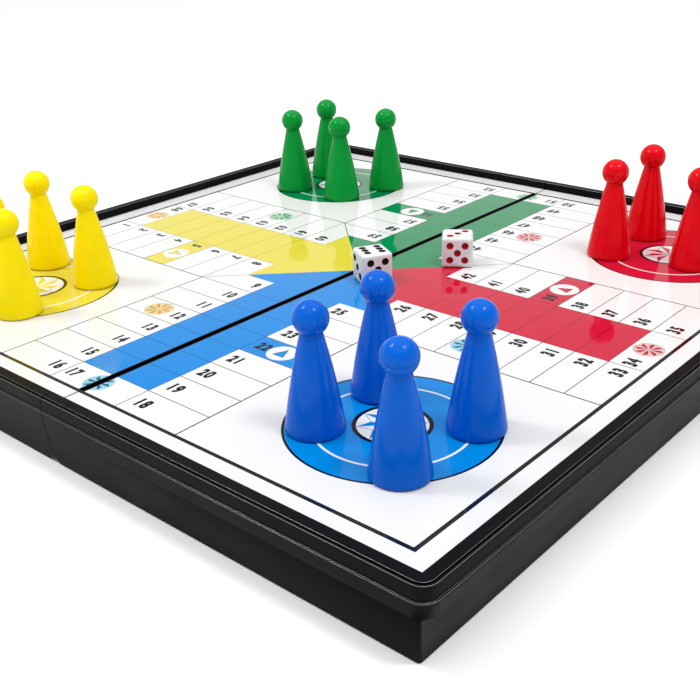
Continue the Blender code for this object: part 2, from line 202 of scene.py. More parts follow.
# %% A class for finishes
class Finish(Nodes):
    """A material with one Principled shader, patterned in object space."""

    def __init__(self, name, **uniform):
        self.material = bpy.data.materials.new(name)
        self.material.use_nodes = True
        super().__init__(self.material.node_tree)
        self.shader = self.tree.nodes["Principled BSDF"]
        for key, value in uniform.items():
            self.shader.inputs[key.replace("_", " ")].default_value = value
        self.place = self.add("ShaderNodeTexCoord", out="Object")

    def grain(self, scale, detail=2.0, place=None, out=0):
        """Soft noise, 0 to 1, with scale bumps to the metre."""
        return self.add("ShaderNodeTexNoise", None, {
            "Vector": place or self.place, "Scale": scale,
            "Detail": detail}, out=out)

    def set(self, key, value):
        self.plug(value, self.shader.inputs[key])

    def relief(self, height, depth):
        """Bumps the surface by height times depth, in metres."""
        self.set("Normal", self.add("ShaderNodeBump", None, {
            "Height": height, "Distance": depth, "Strength": 1.0}))


print("finishes are ready")

# %% [markdown]
# ## The light
#
# Such sets are photographed on white paper under two soft boxes, so that the
# ground burns out to white and only a soft shadow is left beneath the case.
# A bright sky alone would do that, but it would leave the pawns flat. So the
# sky is bright at the horizon and overhead and dimmer between, where the film
# on the board mirrors it, and two soft boxes give each round head its
# highlights.

# %% Sky, soft boxes and floor
sky = bpy.data.worlds.new("white_tent")
sky.use_nodes = True
scene.world = sky
tent = Nodes(sky.node_tree)
around = tent.add("ShaderNodeTexCoord", out="Generated")
upness = tent.add("ShaderNodeSeparateXYZ", None, {0: around}, out="Z")
backness = tent.add("ShaderNodeSeparateXYZ", None, {0: around}, out="Y")
low_wall = (tent.spread(upness, 0.20, 0.45, 0.78, 0.0)
            * tent.spread(backness, 0.20, 0.50, 0.45, 1.0))
ceiling = tent.spread(upness, 0.55, 0.80, 0.0, 1.05)
tent.plug(low_wall + ceiling + 0.35,
          sky.node_tree.nodes["Background"].inputs["Strength"])
sky.node_tree.nodes["Background"].inputs["Color"].default_value = (1, 1, 1, 1)


def soft_box(name, place, size, power):
    """A round lamp that faces the board."""
    lamp = bpy.data.lights.new(name, "AREA")
    lamp.shape = "DISK"
    lamp.size = size
    lamp.energy = power
    holder = bpy.data.objects.new(name, lamp)
    scene.collection.objects.link(holder)
    aim = Vector(place) - Vector((0, 0, 0.02))
    holder.matrix_world = Matrix.Translation(place) @ aim.to_track_quat(
        "Z", "Y").to_matrix().to_4x4()
    return holder


soft_box("left_box", (-0.31, 0.39, 0.75), 0.19, 2.5)
soft_box("right_box", (0.00, -0.42, 0.80), 0.19, 2.5)

paper = Finish("white_paper", Roughness=0.9)
paper.set("Base Color", paper.blend(paper.grain(40), paint(247, 247, 247),
                                    paint(252, 252, 252)))
plane = bmesh.new()
bmesh.ops.create_grid(plane, x_segments=1, y_segments=1, size=12.0)
bmesh.ops.translate(plane, vec=(0, 0, -0.0003), verts=plane.verts)
floor_mesh = bpy.data.meshes.new("floor")
plane.to_mesh(floor_mesh)
plane.free()
floor_mesh.materials.append(paper.material)
floor = bpy.data.objects.new("floor", floor_mesh)
scene.collection.objects.link(floor)

# %% [markdown]
# ## Ink under film
#
# The board is paper printed in flat inks under a clear glossy film. Ink and
# film could be two sheets, but one surface gives the same look: the colour
# beneath is matt, and the mirror on top is the film's. The film was rolled
# on, so it waves very slightly, which makes the pawns' reflections wander.
# Inks are mixed darker than they look, because the board stands in more than
# full light.

# %% One finish for each ink
INKS = {
    "white": paint(221, 221, 221),
    # printed black, kept matt, as painted shade along the fold
    "fold_black": paint(2, 2, 3),
    "black": paint(4, 4, 5),
    "line_grey": paint(82, 78, 78),
    # painted reflection of the film on the dark frame and fold lines
    "frame_grey": paint(24, 23, 24),
    "blue": paint(0, 126, 203),
    "red": paint(190, 20, 52),
    "green": paint(0, 127, 74),
    "yellow": paint(211, 197, 62),
    "blue_line": paint(0, 62, 118),
    "red_line": paint(104, 0, 14),
    "green_line": paint(0, 58, 28),
    "yellow_line": paint(128, 108, 2),
    "blue_pale": paint(142, 188, 206),
    "red_pale": paint(206, 168, 168),
    "green_pale": paint(160, 198, 168),
    "yellow_pale": paint(206, 192, 146),
    "blue_blade": paint(10, 92, 126),
    "red_blade": paint(160, 18, 34),
    "green_blade": paint(30, 124, 78),
    "orange_blade": paint(196, 134, 28),
}


def ink_finish(name, colour):
    # the fold core is kept matt so that it stays black as painted shade
    matt = name == "fold_black"
    ink = Finish("ink_" + name, IOR=1.02 if matt else 1.43)
    fleck = ink.grain(2600, 3)
    worn = [max(0.0, c * 0.965) for c in colour[:3]] + [1.0]
    ink.set("Base Color", ink.blend(fleck, colour, worn))
    ink.set("Roughness", ink.spread(ink.grain(300), 0.3, 0.7, 0.035, 0.065))
    ink.relief(ink.grain(55, 1) * 0.8 + ink.grain(420, 1) * 0.06, 0.00006)
    return ink.material


INK_NAMES = list(INKS)
ink_materials = [ink_finish(name, INKS[name]) for name in INK_NAMES]
print(len(ink_materials), "inks")

# %% [markdown]
# ## The print is drawn in layers
#
# A printer lays one shape over another: white paper, coloured tracks, lines,
# then numbers. A picture of the board could be wrapped on the panel, but
# shapes stay sharp at any distance. So each shape goes into one list, in
# printing order, as corner points in millimetres and an ink.

# %% A list of printed shapes
FIELD_X, FIELD_Y = 120.0, 117.7
MARGIN = 8.9 - 0.2
SEAM = 0.15
prints = []


def lay(ink, points):
    prints.append((INK_NAMES.index(ink), [(float(x), float(y)) for x, y in points]))


def disc(ink, centre, radius, steps=72):
    lay(ink, [(centre[0] + radius * cos(2 * pi * i / steps),
               centre[1] + radius * sin(2 * pi * i / steps))
              for i in range(steps)])


def stroke(ink, start, end, width):
    """A straight printed line with square ends."""
    along = Vector(end) - Vector(start)
    side = Vector((-along.y, along.x)).normalized() * width / 2
    a, b = Vector(start), Vector(end)
    lay(ink, [a - side, b - side, b + side, a + side])


edge_x, edge_y = FIELD_X + MARGIN, FIELD_Y + MARGIN
for low, high in ((-edge_y, -SEAM), (SEAM, edge_y)):
    lay("white", [(-edge_x, low), (edge_x, low), (edge_x, high), (-edge_x, high)])
print("paper halves:", len(prints))

# %% [markdown]
# ## Four arms from one rule
#
# The board has four arms that are the same but for colour, size and turn.
# They could be drawn four times, but one arm's rule is enough: a point on an
# arm is so far along its player's reading direction and so far out from the
# middle, and the arm turns that into a place on the board.

# %% Each arm's own measures
class Arm:
    """One player's arm: its direction, its rows and its first number."""

    def __init__(self, colour, reading, outward, rows, corridor, half, inner,
                 field, first, safe):
        self.colour, self.reading, self.outward = colour, reading, outward
        self.corridor, self.half = corridor, half
        self.inner, self.field = inner, field
        self.pitch = (field - rows) / 7
        self.rows, self.first, self.safe = rows, first, safe

    def at(self, along, out):
        return (self.reading[0] * along + self.outward[0] * out,
                self.reading[1] * along + self.outward[1] * out)

    def row(self, k):
        """How far out row k starts. Row -1 is the one beside the middle."""
        return self.inner if k < 0 else self.rows + k * self.pitch

    def middle(self, k):
        return (self.row(k) + self.row(k + 1)) / 2


ARMS = [
    Arm("blue", (0, -1), (-1, 0), 38.9, 15.2, 40.5, 27.7, FIELD_X, 9,
        ("yellow_pale", "orange_blade", "blue_pale", "blue_blade")),
    Arm("red", (1, 0), (0, -1), 40.8, 13.7, 39.1, 29.1, FIELD_Y, 26,
        ("blue_pale", "blue_blade", "red_pale", "red_blade")),
    Arm("green", (0, 1), (1, 0), 38.9, 15.2, 40.5, 27.7, FIELD_X, 43,
        ("red_pale", "red_blade", "green_pale", "green_blade")),
    Arm("yellow", (-1, 0), (0, 1), 40.8, 13.7, 39.1, 29.1, FIELD_Y, 60,
        ("green_pale", "green_blade", "yellow_pale", "orange_blade")),
]
SQUARE = (27.7, 29.1)
print("rows of", [round(arm.pitch, 2) for arm in ARMS], "mm")

# %% [markdown]
# ## Tracks and cells
#
# Each arm has a coloured home track down its middle, three rows wide cells on
# both sides, and a start cell filled with the player's colour. Fills go down
# before lines, as on the press, so that the lines cover the joins.

# %% Fill the tracks and draw the lines
def track(arm):
    """The coloured corridor, from the middle square to the last row."""
    c, end = arm.corridor, arm.row(6)
    lay(arm.colour, [arm.at(-c, arm.inner - 0.3), arm.at(c, arm.inner - 0.3),
                     arm.at(c, end), arm.at(-c, end)])
    lay(arm.colour, [arm.at(c, arm.row(2)), arm.at(arm.half, arm.row(2)),
                     arm.at(arm.half, arm.row(3)), arm.at(c, arm.row(3))])


def cell_lines(arm):
    c, h, tint = arm.corridor, arm.half, arm.colour + "_line"
    for k in range(0, 7):
        for side in (-1, 1):
            stroke("line_grey", arm.at(side * c, arm.row(k)),
                   arm.at(side * h, arm.row(k)), 0.32)
        stroke(tint, arm.at(-c, arm.row(k)), arm.at(c, arm.row(k)), 0.22)
    for side in (-1, 1):
        stroke(tint, arm.at(side * c, arm.inner),
               arm.at(side * c, arm.row(6)), 0.26)
        stroke("line_grey", arm.at(side * c, arm.row(6)),
               arm.at(side * c, arm.field), 0.32)
        stroke("black", arm.at(side * h, arm.rows),
               arm.at(side * h, arm.field), 0.45)


for arm in ARMS:
    track(arm)
for (x, y), colour in (((-1, 0), "blue"), ((0, -1), "red"),
                       ((1, 0), "green"), ((0, 1), "yellow")):
    qx, qy = SQUARE
    ends = ([(x * qx, -qy), (x * qx, qy)] if x else [(-qx, y * qy), (qx, y * qy)])
    if x < 0 or y > 0:
        ends.reverse()
    lay(colour, [(0, 0)] + ends)
for arm in ARMS:
    cell_lines(arm)
for sx in (-1, 1):
    for sy in (-1, 1):
        stroke("line_grey", (sx * SQUARE[0], sy * SQUARE[1]),
               (sx * 39.0, sy * 40.6), 0.32)
print("shapes so far:", len(prints))

# %% [markdown]
# ## Pinwheels and start marks
#
# Two cells on each arm are safe places, marked with a pale disc and a wheel
# of darker blades, and each start cell has a white disc with a small arrow
# that points to the middle. One function draws each, given its place.

# %% Mark the safe and start cells
def pinwheel(centre, pale, dark, radius=4.9, blades=8):
    disc(pale, centre, radius, 40)
    for i in range(blades):
        a = 2 * pi * i / blades

        def point(share, angle):
            return (centre[0] + radius * share * cos(a + angle),
                    centre[1] + radius * share * sin(a + angle))
        lay(dark, [point(0.10, 0), point(0.55, -0.05), point(0.94, 0.04),
                   point(0.70, 0.40)])


def start_mark(arm):
    out = arm.middle(2)
    disc("white", arm.at(27.8, out), 4.9, 48)
    for ink, grow in ((arm.colour + "_line", 0.35), (arm.colour, 0.0)):
        lay(ink, [arm.at(27.8, out - 2.55 - 1.6 * grow),
                  arm.at(27.8 + 1.95 + grow, out + 1.85 + 0.8 * grow),
                  arm.at(27.8 - 1.95 - grow, out + 1.85 + 0.8 * grow)])


for arm in ARMS:
    pale, dark, end_pale, end_dark = arm.safe
    pinwheel(arm.at(-29.5, arm.middle(2)), pale, dark, 5.1)
    pinwheel(arm.at(0.6 if arm.colour in ("red", "yellow") else 0.0,
                    arm.middle(6)), end_pale, end_dark, 4.75)
    start_mark(arm)
print("shapes so far:", len(prints))

# %% [markdown]
# ## Numbers from outlines
#
# The cells count from 1 to 68 in bold narrow figures. Text objects could be
# laid on the board, but they would float over it, so each figure's outline
# is taken from Blender's own font once, squeezed to the printed width and
# added to the list like any other shape. A hole in a figure is printed over
# it in the colour beneath.

# %% Take the outlines of ten figures
def loops_of(mesh):
    """Closed outlines of a flat filled mesh, the largest first."""
    bm = bmesh.new()
    bm.from_mesh(mesh)
    bmesh.ops.remove_doubles(bm, verts=bm.verts, dist=1e-5)
    rims = {v: [e.other_vert(v) for e in v.link_edges if e.is_boundary]
            for v in bm.verts if any(e.is_boundary for e in v.link_edges)}
    loops, left = [], set(rims)
    while left:
        start = left.pop()
        loop, previous, here = [start], None, start
        while True:
            ahead = [v for v in rims[here] if v is not previous]
            previous, here = here, ahead[0]
            if here is start:
                break
            loop.append(here)
            left.discard(here)
        loops.append([(v.co.x, v.co.y) for v in loop])
    bm.free()
    return sorted(loops, key=lambda p: -abs(turning(p)))


def turning(points):
    """Twice the area of a loop, positive when it runs anticlockwise."""
    return sum(a[0] * b[1] - b[0] * a[1]
               for a, b in zip(points, points[1:] + points[:1]))


def figure(digit):
    letters = bpy.data.curves.new("figure", "FONT")
    letters.body = digit
    letters.offset = 0.03
    letters.resolution_u = 3
    letters.fill_mode = "FRONT"
    holder = bpy.data.objects.new("figure", letters)
    scene.collection.objects.link(holder)
    bpy.context.view_layer.update()
    flat = bpy.data.meshes.new_from_object(
        holder.evaluated_get(bpy.context.evaluated_depsgraph_get()))
    loops = loops_of(flat)
    bpy.data.objects.remove(holder)
    bpy.data.curves.remove(letters)
    bpy.data.meshes.remove(flat)
    return loops


FIGURES = {digit: figure(digit) for digit in "0123456789"}
zero = FIGURES["0"][0]
wide = max(x for x, y in zero) - min(x for x, y in zero)
tall = max(y for x, y in zero) - min(y for x, y in zero)
foot = min(y for x, y in zero)
print("figure 0 is", round(wide, 3), "by", round(tall, 3),
      "points:", {d: sum(map(len, FIGURES[d])) for d in FIGURES})

# %% Print the numbers
FIGURE_HEIGHT, FIGURE_WIDTH, FIGURE_STEP, EXTRA_WEIGHT = 4.4, 2.1, 2.65, 0.16


def thicken(points):
    """Four copies of an outline, each a little to one side."""
    return [[(x + dx * EXTRA_WEIGHT, y + dy * EXTRA_WEIGHT) for x, y in points]
            for dx in (-1, 1) for dy in (-1, 1)]


def narrow(points):
    """A hole, smaller by as much as the figure round it has grown."""
    sides = []
    for values in zip(*points):
        middle, size = (min(values) + max(values)) / 2, max(values) - min(values)
        share = max(0.3, 1 - 2 * EXTRA_WEIGHT / size)
        sides.append([middle + (v - middle) * share for v in values])
    return list(zip(*sides))


def number(arm, value, along, out, beneath):
    """A number with its middle at a place on an arm, read along the arm."""
    text = str(value)
    for i, digit in enumerate(text):
        loops = FIGURES[digit]
        xs = [x for x, y in loops[0]]
        middle = (min(xs) + max(xs)) / 2
        shift = along + (i - (len(text) - 1) / 2) * FIGURE_STEP
        for order, loop in enumerate(loops):
            points = [((x - middle) / wide * FIGURE_WIDTH,
                       ((y - foot) / tall - 0.5) * FIGURE_HEIGHT) for x, y in loop]
            ink = "black" if order == 0 else beneath
            for points in thicken(points) if order == 0 else [narrow(points)]:
                lay(ink, [arm.at(shift + x, out - y) for x, y in points])


for arm in ARMS:
    near = arm.corridor + 2.5
    for k in range(-1, 7):
        outward, inward = arm.first + 1 + k, arm.first + 15 - k
        for value, side in ((outward, -1), (inward, 1)):
            value = (value - 1) % 68 + 1
            width = FIGURE_STEP * (len(str(value)) - 1) + FIGURE_WIDTH
            beneath = arm.colour if (side > 0 and k == 2) else "white"
            number(arm, value, side * (near + width / 2), arm.middle(k), beneath)
    number(arm, arm.first + 8, -near + 5.0 + FIGURE_WIDTH / 2, arm.middle(6),
           "white")
print("shapes with numbers:", len(prints))

# %% [markdown]
# ## Home circles
#
# Each player's pawns wait on a large disc with a fine white ring and, in its
# middle, an eight-pointed star whose rays are half coloured and half white,
# the old ornament of sea charts. The coloured half of a ray is one triangle,
# and two fine lines close the white half.

# %% Draw the four homes
HOME_X, HOME_Y = 81.4, 81.0


def star(centre, colour, reach=9.3):
    def point(share, turn):
        return (centre[0] + reach * share * cos(turn),
                centre[1] + reach * share * sin(turn))
    for i in range(8):
        a = pi * i / 4
        lay(colour, [centre, point(0.62, a - pi / 8), point(1.0, a)])
    for i in range(8):
        a = pi * i / 4
        for side in (-1, 1):
            stroke(colour + "_line", point(0.62, a + side * pi / 8),
                   point(1.0, a), 0.14)


for sx, sy, colour in ((-1, -1, "blue"), (1, -1, "red"), (1, 1, "green"),
                       (-1, 1, "yellow")):
    centre = (sx * HOME_X, sy * HOME_Y)
    for ink, radius in (("black", 28.9), (colour, 28.2), ("white", 21.4),
                        (colour, 20.65), ("black", 10.7), ("white", 9.5)):
        disc(ink, centre, radius, 120 if radius > 15 else 64)
    star(centre, colour)
print("shapes with homes:", len(prints))

# %% [markdown]
# ## Frame line and fold band
#
# A dark line frames the field, and a dark band runs down both sides of the fold. Both
# have a black core or edge with grey beside it. The grey is a painted reflection of
# the film over the dark ink. The fold band is printed dark, and its deep matt black
# core is painted shade along the fold.

# %% Draw the frame and the band
def box_line(ink, inner, outer):
    """Four printed bars round the field, from inner to outer beyond it."""
    x0, y0 = FIELD_X + inner, FIELD_Y + inner
    x1, y1 = FIELD_X + outer, FIELD_Y + outer
    for s in (-1, 1):
        lay(ink, [(-x1, min(s * y0, s * y1)), (x1, min(s * y0, s * y1)),
                  (x1, max(s * y0, s * y1)), (-x1, max(s * y0, s * y1))])
        lay(ink, [(min(s * x0, s * x1), -y1), (max(s * x0, s * x1), -y1),
                  (max(s * x0, s * x1), y1), (min(s * x0, s * x1), y1)])


box_line("black", 0.0, 1.25)
# a grey stripe inside the black frame line, as a painted reflection of the film
box_line("frame_grey", 0.3, 0.95)
# fold band: grey edges are a painted reflection, the matt black core is painted shade
# along the fold
for ink, half in (("frame_grey", 1.44), ("fold_black", 1.15)):
    lay(ink, [(-FIELD_X, -half), (FIELD_X, -half),
              (FIELD_X, half), (-FIELD_X, half)])
# thin grey strokes on the white border beside the seam, as painted shade of the gap
# between the two halves
for s in (-1, 1):
    for way in (-1, 1):
        stroke("line_grey", (s * (FIELD_X + 1.25), way * 0.26),
               (s * edge_x, way * 0.26), 0.2)
print("shapes in all:", len(prints), "with",
      sum(len(points) for _, points in prints), "corners")

# %% [markdown]
# ## From shapes to one flat mesh
#
# Overlapping shapes would flicker if they lay at one height. A constrained
# triangulation cuts the whole board along every outline at once, so that
# each triangle lies under whole shapes only.

# %% Cut the board along every outline
corners, outlines = [], []
for ink, points in prints:
    if turning(points) < 0:
        points = points[::-1]
    outlines.append(list(range(len(corners), len(corners) + len(points))))
    corners += [Vector(p) for p in points]
places, _, faces = delaunay_2d_cdt(corners, [], outlines, 0, 1e-4)[:3]
print(len(places), "points and", len(faces), "triangles")

# %% [markdown]
# ## The ink that shows
#
# Where shapes overlap, the last one printed shows. The triangulation can say
# which shapes cover a triangle, but that list was not the same in every run.
# So each triangle's middle is tested against the outlines, in the order in
# which they are printed. Sorting the middles into squares keeps this quick.

# %% Sort the triangles into squares
SQUARE = 6.0
middles, by_square = [], {}
for which, face in enumerate(faces):
    x, y = (sum(places[i][axis] for i in face) / len(face) for axis in (0, 1))
    middles.append((x, y))
    by_square.setdefault((x // SQUARE, y // SQUARE), []).append(which)
print(len(by_square), "squares")

# %% Find the topmost ink of every triangle

def inside(points, x, y):
    """Tells whether a place lies inside a closed outline."""
    within = False
    x0, y0 = points[-1]
    for x1, y1 in points:
        if (y0 > y) != (y1 > y) and x < (x1 - x0) * (y - y0) / (y1 - y0) + x0:
            within = not within
        x0, y0 = x1, y1
    return within


top_ink = [None] * len(faces)
for order, (ink, points) in enumerate(prints):
    (low_x, high_x), (low_y, high_y) = (
        (int(min(v) // SQUARE), int(max(v) // SQUARE)) for v in zip(*points))
    for square in [(i, j) for i in range(low_x, high_x + 1)
                   for j in range(low_y, high_y + 1)]:
        for which in by_square.get(square, ()):
            on_paper = order < 2 or top_ink[which] is not None
            if on_paper and inside(points, *middles[which]):
                top_ink[which] = ink
print("triangles per ink:", {name: top_ink.count(i)
                             for i, name in enumerate(INK_NAMES)})

# %% Make a closed panel for each half
BOARD_LEVEL, PANEL_THICKNESS = 0.0177, 0.0008


def panel(name, side):
    bm = bmesh.new()
    made = {}
    for face, (_, middle), ink in zip(faces, middles, top_ink):
        if ink is None or middle * side < 0:
            continue
        for i in face:
            if i not in made:
                made[i] = bm.verts.new((places[i].x / 1000, places[i].y / 1000,
                                        BOARD_LEVEL))
        top = bm.faces.new([made[i] for i in face])
        top.material_index = ink
    bm.normal_update()
    for top in bm.faces:
        if top.normal.z < 0:
            top.normal_flip()
    rim = [e for e in bm.edges if e.is_boundary]
    walls = bmesh.ops.extrude_edge_only(bm, edges=rim)["geom"]
    lower = [g for g in walls if isinstance(g, bmesh.types.BMVert)]
    bmesh.ops.translate(bm, vec=(0, 0, -PANEL_THICKNESS), verts=lower)
    low_set = set(lower)
    foot_edges = [e for e in bm.edges if set(e.verts) <= low_set]
    for under in bmesh.ops.contextual_create(bm, geom=foot_edges)["faces"]:
        under.material_index = 0
    bmesh.ops.recalc_face_normals(bm, faces=bm.faces)
    mesh = bpy.data.meshes.new(name)
    bm.to_mesh(mesh)
    bm.free()
    for material in ink_materials:
        mesh.materials.append(material)
    ob = bpy.data.objects.new(name, mesh)
    scene.collection.objects.link(ob)
    return ob


for half, side in (("front", -1), ("back", 1)):
    board = panel(half + "_printed_board", side)
    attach(board, half + "_half")
    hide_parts(half + "_play_surface")
    print(board.name, len(board.data.polygons), "faces")

# %% [markdown]
# ## Recipes in Geometry Nodes
#
# What repeats, or follows a rule, is made by a Geometry Nodes tree: a recipe
# with named inputs that can be run again with other values. Each run ends in
# a plain mesh, because the finished model keeps no modifiers.

# %% A class for recipes
class Recipe(Nodes):
    """A Geometry Nodes tree with named inputs, run once for each piece."""

    def __init__(self, name, **inputs):
        tree = bpy.data.node_groups.new(name, "GeometryNodeTree")
        super().__init__(tree)
        tree.interface.new_socket(name="Base", in_out="INPUT",
                                  socket_type="NodeSocketGeometry")
        self.ids = {}
        for key, kind in {**inputs, "Finish": "Material"}.items():
            socket = tree.interface.new_socket(
                name=key.replace("_", " "), in_out="INPUT",
                socket_type="NodeSocket" + kind)
            self.ids[key] = socket.identifier
        tree.interface.new_socket(name="Piece", in_out="OUTPUT",
                                  socket_type="NodeSocketGeometry")
        self.start = tree.nodes.new("NodeGroupInput")

    def given(self, key):
        return Value(self, self.start.outputs[key.replace("_", " ")])

    def split(self, vector):
        """The three parts of a vector."""
        first = self.add("ShaderNodeSeparateXYZ", None, {0: vector})
        return [Value(self, s) for s in first.socket.node.outputs]

    def join(self, x, y, z):
        return self.add("ShaderNodeCombineXYZ", None, {0: x, 1: y, 2: z})

    def vector(self, operation, *values, **named):
        return self.add("ShaderNodeVectorMath", {"operation": operation},
                        {**dict(enumerate(values)), **named})

    def end(self, piece, but=None):
        """Closes the recipe. but selects faces that keep their own finish."""
        whole = self.add("GeometryNodeRealizeInstances", None, {0: piece})
        values = {"Geometry": whole, "Material": self.given("Finish")}
        if but:
            values["Selection"] = self.add(
                "FunctionNodeBooleanMath", {"operation": "NOT"}, {0: but})
        dressed = self.add("GeometryNodeSetMaterial", None, values)
        out = self.tree.nodes.new("NodeGroupOutput")
        self.tree.links.new(dressed.socket, out.inputs[0])

    def run(self, name, base, **values):
        """Runs the recipe on a mesh and returns the plain result."""
        ob = bpy.data.objects.new(name, base)
        scene.collection.objects.link(ob)
        step = ob.modifiers.new("recipe", "NODES")
        step.node_group = self.tree
        for key, value in values.items():
            step[self.ids[key]] = value
        bpy.context.view_layer.update()
        made = bpy.data.meshes.new_from_object(
            ob.evaluated_get(bpy.context.evaluated_depsgraph_get()))
        ob.modifiers.clear()
        ob.data = made
        made.name = name
        used = sorted({face.material_index for face in made.polygons})
        keep = [made.materials[i] for i in used]
        order = [used.index(face.material_index) for face in made.polygons]
        made.materials.clear()
        for material in keep:
            made.materials.append(material)
        made.polygons.foreach_set("material_index", order)
        return ob


def tidy_faces(mesh, crease=40):
    """Turns all faces outwards and shades them smooth but for real creases."""
    bm = bmesh.new()
    bm.from_mesh(mesh)
    bmesh.ops.recalc_face_normals(bm, faces=bm.faces)
    bm.to_mesh(mesh)
    bm.free()
    mesh.shade_smooth()
    mesh.set_sharp_from_angle(angle=radians(crease))


print("recipes are ready")

# %% [markdown]
# ## Glossy coloured plastic
#
# The pawns are moulded in bright plastic with a smooth, slightly uneven skin.
# A mirror-smooth shader would look like glass, so a soft noise varies the
# gloss, a slow one bends the highlights, and a very fine one specks the
# colour.

# %% One finish for each team
TEAMS = {"blue": paint(0, 92, 200), "red": paint(216, 0, 18),
         "green": paint(0, 143, 54), "yellow": paint(252, 226, 0)}


def pawn_finish(team, colour):
    skin = Finish("plastic_" + team, Specular_IOR_Level=0.12)
    deeper = [c * 0.94 for c in colour[:3]] + [1.0]
    skin.set("Base Color", skin.blend(
        skin.spread(skin.grain(180, 3), 0.35, 0.7), colour, deeper))
    skin.set("Roughness", skin.spread(skin.grain(900, 3), 0.3, 0.7, 0.13, 0.20))
    skin.relief(skin.grain(260, 1) * 0.5 + skin.grain(3000, 2) * 0.05, 0.00005)
    return skin.material


team_finish = {team: pawn_finish(team, colour) for team, colour in TEAMS.items()}
print("plastics:", list(team_finish))

# %% [markdown]
# ## A pawn is a turned profile
#
# A pawn is a ball on a cone with a soft foot and a pocket for its magnet. A
# Screw modifier could turn it, but a recipe shows the rule: each row of a
# grid takes one point of the profile, and each column one angle round the
# axis.

# %% Draw the profile
HEAD, HEAD_HEIGHT, NECK = 0.0047, 0.0310, 0.0029
FOOT, FOOT_HEIGHT, FOOT_ROUND, BULGE = 0.0079, 0.0014, 0.0007, 0.00035
POCKET, POCKET_DEPTH = 0.00412, 0.0023


def pawn_profile():
    """(radius, height) pairs from the top, down and under the foot."""
    limit = pi - asin(NECK / HEAD)
    points = [(HEAD * sin(limit * i / 28), HEAD_HEIGHT + HEAD * cos(limit * i / 28))
              for i in range(29)]
    neck_z = points[-1][1]
    for i in range(1, 15):
        share = i / 14
        points.append((NECK + share * (FOOT - NECK) + BULGE * sin(pi * share),
                       neck_z + share * (FOOT_HEIGHT - neck_z)))
    for i in range(7):
        a = pi / 2 * i / 6
        points.append((FOOT - FOOT_ROUND * (1 - cos(a)), FOOT_ROUND * (1 - sin(a))))
    points += [(POCKET, 0), (POCKET, POCKET_DEPTH), (0, POCKET_DEPTH)]
    return points


profile = bpy.data.meshes.new("pawn_profile")
outline = [(r, 0, z) for r, z in pawn_profile()]
profile.from_pydata(outline, [(i, i + 1) for i in range(len(outline) - 1)], [])
print("profile of", len(outline), "points")

# %% Turn the profile
lathe = Recipe("lathe", Around="Int", Place="Vector")
rings = lathe.add("GeometryNodeAttributeDomainSize", None, {0: lathe.given("Base")})
grid = lathe.add("GeometryNodeMeshGrid", None, {
    "Size X": 1.0, "Size Y": 1.0, "Vertices X": lathe.given("Around") + 1,
    "Vertices Y": rings})
across, down, _ = lathe.split(lathe.add("GeometryNodeInputPosition"))
row = lathe.add("ShaderNodeMath", {"operation": "ROUND"},
                {0: (down + 0.5) * (rings - 1)})
drawn = lathe.add("GeometryNodeSampleIndex", {"data_type": "FLOAT_VECTOR"}, {
    0: lathe.given("Base"), "Value": lathe.add("GeometryNodeInputPosition"),
    "Index": row})
radius, _, height = lathe.split(drawn)
angle = (across + 0.5) * (2 * pi)
spot = lathe.join(radius * angle.sum("COSINE", angle),
                  radius * angle.sum("SINE", angle), height)
turned = lathe.add("GeometryNodeSetPosition", None, {
    "Geometry": grid, "Position": lathe.vector("ADD", spot, lathe.given("Place"))})
lathe.end(lathe.add("GeometryNodeMergeByDistance", None,
                    {"Geometry": turned, "Distance": 0.000002}))

for team in TEAMS:
    for count in range(1, 5):
        node = "pawn_%s_%d" % (team, count)
        low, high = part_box(node)
        pawn = lathe.run("turned_" + node, profile, Around=64,
                         Place=((low.x + high.x) / 2, (low.y + high.y) / 2, low.z),
                         Finish=team_finish[team])
        tidy_faces(pawn.data)
        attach(pawn, node + "_body")
        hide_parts(node)
print("pawns of", len(pawn.data.polygons), "faces")

# %% [markdown]
# ## Dice with drilled pips
#
# A die is a cube with rounded edges and a shallow dimple for each pip, painted
# in one colour. The rounding is a rule: each point of a cube is pulled back
# to a smaller core cube and pushed out again by the radius. The dimples are
# cut by small balls, which leave their paint behind.

# %% Bone-white plastic and pip paint
bone = Finish("die_plastic", Specular_IOR_Level=0.45)
bone.set("Base Color", bone.blend(bone.grain(500, 3), paint(222, 222, 226),
                                  paint(214, 213, 216)))
bone.set("Roughness", bone.spread(bone.grain(1500, 2), 0.3, 0.7, 0.22, 0.34))
bone.relief(bone.grain(700, 2), 0.00002)


def pip_finish(name, colour):
    enamel = Finish(name, Specular_IOR_Level=0.15)
    enamel.set("Base Color", enamel.blend(enamel.grain(2500, 2), colour,
                                          [c * 0.8 for c in colour[:3]] + [1]))
    enamel.set("Roughness", enamel.spread(
        enamel.grain(3500, 2), 0.3, 0.7, 0.25, 0.4))
    enamel.relief(enamel.grain(2500, 2), 0.00003)
    return enamel.material


pip_black = pip_finish("pip_black", paint(3, 3, 4))
pip_red = pip_finish("pip_red", paint(158, 0, 22))
print("dice finishes are ready")

# %% Round the cube and cut the pips
DIE, DIE_ROUND, PIP, PIP_DEPTH, PIP_STEP = 0.0112, 0.0012, 0.0013, 0.00055, 0.00268
PIP_PLACES = {
    1: ((0, 0),), 2: ((-1, -1), (1, 1)), 3: ((-1, -1), (0, 0), (1, 1)),
    4: ((-1, -1), (-1, 1), (1, -1), (1, 1)),
    5: ((-1, -1), (-1, 1), (0, 0), (1, -1), (1, 1)),
    6: ((-1, -1), (-1, 0), (-1, 1), (1, -1), (1, 0), (1, 1))}

